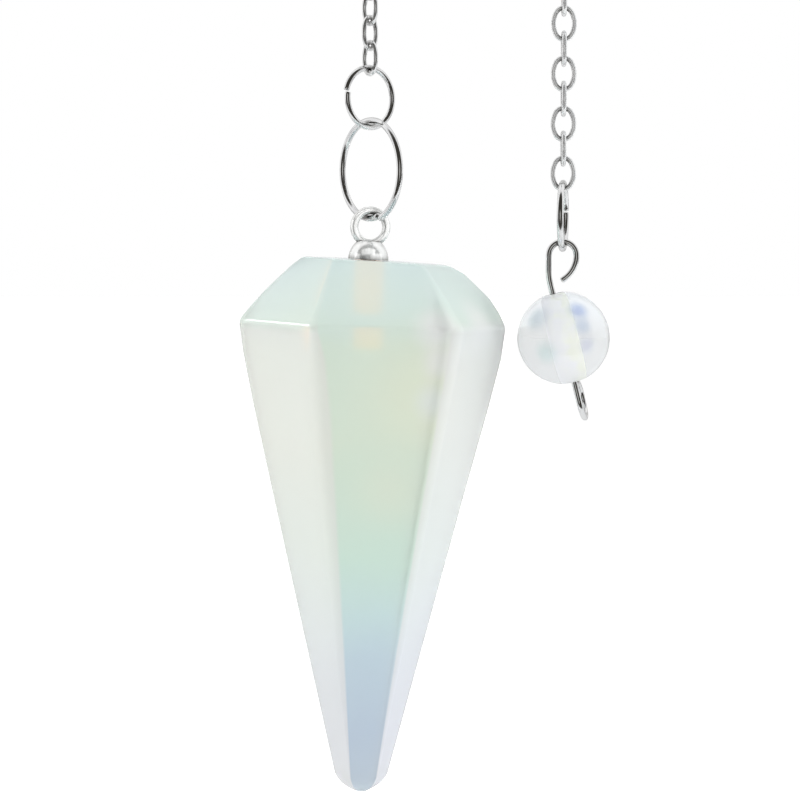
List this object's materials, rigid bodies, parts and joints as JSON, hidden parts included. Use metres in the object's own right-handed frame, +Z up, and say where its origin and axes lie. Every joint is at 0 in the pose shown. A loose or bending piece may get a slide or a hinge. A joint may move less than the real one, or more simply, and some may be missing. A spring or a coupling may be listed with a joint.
{
  "type": "pendulum pendant",
  "caption": "Pendulum of milky opal glass: a six-sided point on a fine silver chain with a round bead on a wire pin at the other end.",
  "frame": {"origin": "underside of the chain's crown, the point that the doubled chain hangs over", "axes": "+Z up along the hanging strands, +X right towards the bead's strand as the picture shows it, +Y to the back"},
  "size_m": [0.0279, 0.0191, 0.1375],
  "materials": {
    "opal_glass": "polished, milky",
    "opal_bead": "polished, milky",
    "silver": "bright silver plate",
    "glue": "clear amber glue"
  },
  "bodies": {
    "hung_chain": {"chain": "silver", "ring_small": "silver", "ring_large": "silver", "end_ring": "silver", "bead_pin": "silver"},
    "drop": {"bail": "silver", "glue_plug": "glue", "stone": "opal_glass"},
    "bead_body": {"bead": "opal_bead"}
  },
  "joints": [
    {"name": "drop_swing", "type": "hinge", "parent": "hung_chain", "child": "drop", "pos_m": [-0.00725, 0, -0.09184], "axis": [0.5878, -0.809, 0], "range_deg": [-75, 9]},
    {"name": "bead_spin", "type": "hinge", "parent": "hung_chain", "child": "bead_body", "pos_m": [0.00735, 0, -0.10083], "axis": [0.2419, 0, -0.9703], "continuous": true}
  ]
}
